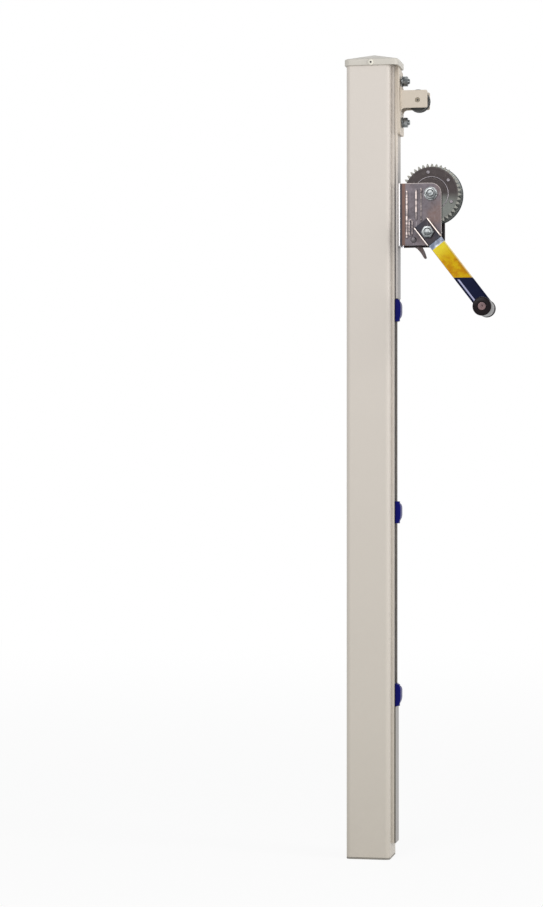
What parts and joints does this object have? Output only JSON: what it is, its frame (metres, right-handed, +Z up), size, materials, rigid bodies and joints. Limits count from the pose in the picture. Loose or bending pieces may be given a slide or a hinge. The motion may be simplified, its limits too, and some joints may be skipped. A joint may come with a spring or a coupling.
{
  "type": "padel net post",
  "caption": "Square steel net post with a geared hand winch, a cable pulley in a bolted bracket and sliding net hooks in a rail.",
  "frame": {"origin": "middle of the base plug's flat lower face", "axes": "+Z up along the post, +X outward to the net, -Y to the crank side"},
  "size_m": [0.2784, 0.1844, 1.4651],
  "materials": {
    "post_paint": "warm grey powder coat with a fine texture",
    "winch_zinc": "zinc plated sheet, cloudy",
    "gear_steel": "dark zinc plate with a trace of grease",
    "fastener_zinc": "zinc plated",
    "hook_plastic": "moulded blue plastic",
    "arm_paint": "yellow and dark blue paint over bare steel at both ends",
    "grip_rubber": "matt black moulded grip",
    "plug_plastic": "moulded black plastic",
    "pulley_nylon": "turned dark grey nylon",
    "bush_bronze": "plain sintered bronze"
  },
  "bodies": {
    "post": {"base_plug": "plug_plastic", "bracket_backing_plate": "winch_zinc", "bracket_lower_bolt": "fastener_zinc", "bracket_lower_nut": "fastener_zinc", "bracket_lower_washer": "fastener_zinc", "bracket_upper_bolt": "fastener_zinc", "bracket_upper_nut": "fastener_zinc", "bracket_upper_washer": "fastener_zinc", "cap_screw_front": "fastener_zinc", "cap_screw_rear": "fastener_zinc", "crank_bush_far": "bush_bronze", "crank_bush_near": "bush_bronze", "drum_axle": "fastener_zinc", "drum_axle_nut": "fastener_zinc", "drum_axle_washer": "fastener_zinc", "drum_bush": "bush_bronze", "hook_rail": "post_paint", "lower_slot_cover": "post_paint", "pawl_pivot": "fastener_zinc", "pawl_spring": "fastener_zinc", "post_tube": "post_paint", "pulley_axle": "fastener_zinc", "pulley_bracket": "post_paint", "pulley_spacer_far": "winch_zinc", "pulley_spacer_near": "winch_zinc", "rail_rivet_1": "fastener_zinc", "rail_rivet_2": "fastener_zinc", "rail_rivet_3": "fastener_zinc", "rail_rivet_4": "fastener_zinc", "top_cap": "post_paint", "upper_mount_bar": "post_paint", "winch_backing_plate": "winch_zinc", "winch_frame": "winch_zinc", "winch_lower_bolt": "fastener_zinc", "winch_lower_nut": "fastener_zinc", "winch_lower_washer": "fastener_zinc", "winch_upper_bolt": "fastener_zinc", "winch_upper_nut": "fastener_zinc", "winch_upper_washer": "fastener_zinc"},
    "pulley": {"pulley_wheel": "pulley_nylon", "pulley_bush": "bush_bronze"},
    "drum": {"drum_gear": "gear_steel", "winch_drum": "winch_zinc", "gear_rivet_1": "fastener_zinc", "gear_rivet_2": "fastener_zinc"},
    "crank": {"crank_shaft": "fastener_zinc", "drive_pinion": "gear_steel", "ratchet_wheel": "gear_steel", "shaft_spacer": "winch_zinc", "shaft_clip": "fastener_zinc", "crank_arm": "arm_paint", "crank_saddle": "winch_zinc", "crank_nut": "fastener_zinc", "grip_washer": "winch_zinc", "grip_pin": "fastener_zinc"},
    "grip": {"crank_grip": "grip_rubber"},
    "pawl": {"ratchet_pawl": "winch_zinc"},
    "hook_1": {"hook_1": "hook_plastic"},
    "hook_2": {"hook_2": "hook_plastic"},
    "hook_3": {"hook_3": "hook_plastic"}
  },
  "joints": [
    {"name": "pulley_spin", "type": "hinge", "parent": "post", "child": "pulley", "pos_m": [0.088, 0, 1.379], "axis": [0, 1, 0], "continuous": true},
    {"name": "drum_spin", "type": "hinge", "parent": "post", "child": "drum", "pos_m": [0.1133, 0, 1.2075], "axis": [0, 1, 0], "continuous": true},
    {"name": "crank_spin", "type": "hinge", "parent": "post", "child": "crank", "pos_m": [0.111, 0, 1.13604], "axis": [0, 1, 0], "continuous": true},
    {"name": "grip_spin", "type": "hinge", "parent": "crank", "child": "grip", "pos_m": [0.21814, -0.09, 0.99641], "axis": [0, 1, 0], "continuous": true},
    {"name": "pawl_turn", "type": "hinge", "parent": "post", "child": "pawl", "pos_m": [0.082, 0, 1.12404], "axis": [0, 1, 0], "range_deg": [0, 8]},
    {"name": "hook_1_slide", "type": "slide", "parent": "post", "child": "hook_1", "axis": [0, 0, 1], "range_m": [-0.16, 0]},
    {"name": "hook_2_slide", "type": "slide", "parent": "post", "child": "hook_2", "axis": [0, 0, 1], "range_m": [-0.15, 0.15]},
    {"name": "hook_3_slide", "type": "slide", "parent": "post", "child": "hook_3", "axis": [0, 0, 1], "range_m": [0, 0.138]}
  ],
  "couplings": [
    {"joint": "drum_spin", "follows": "crank_spin", "ratio": -0.375}
  ]
}
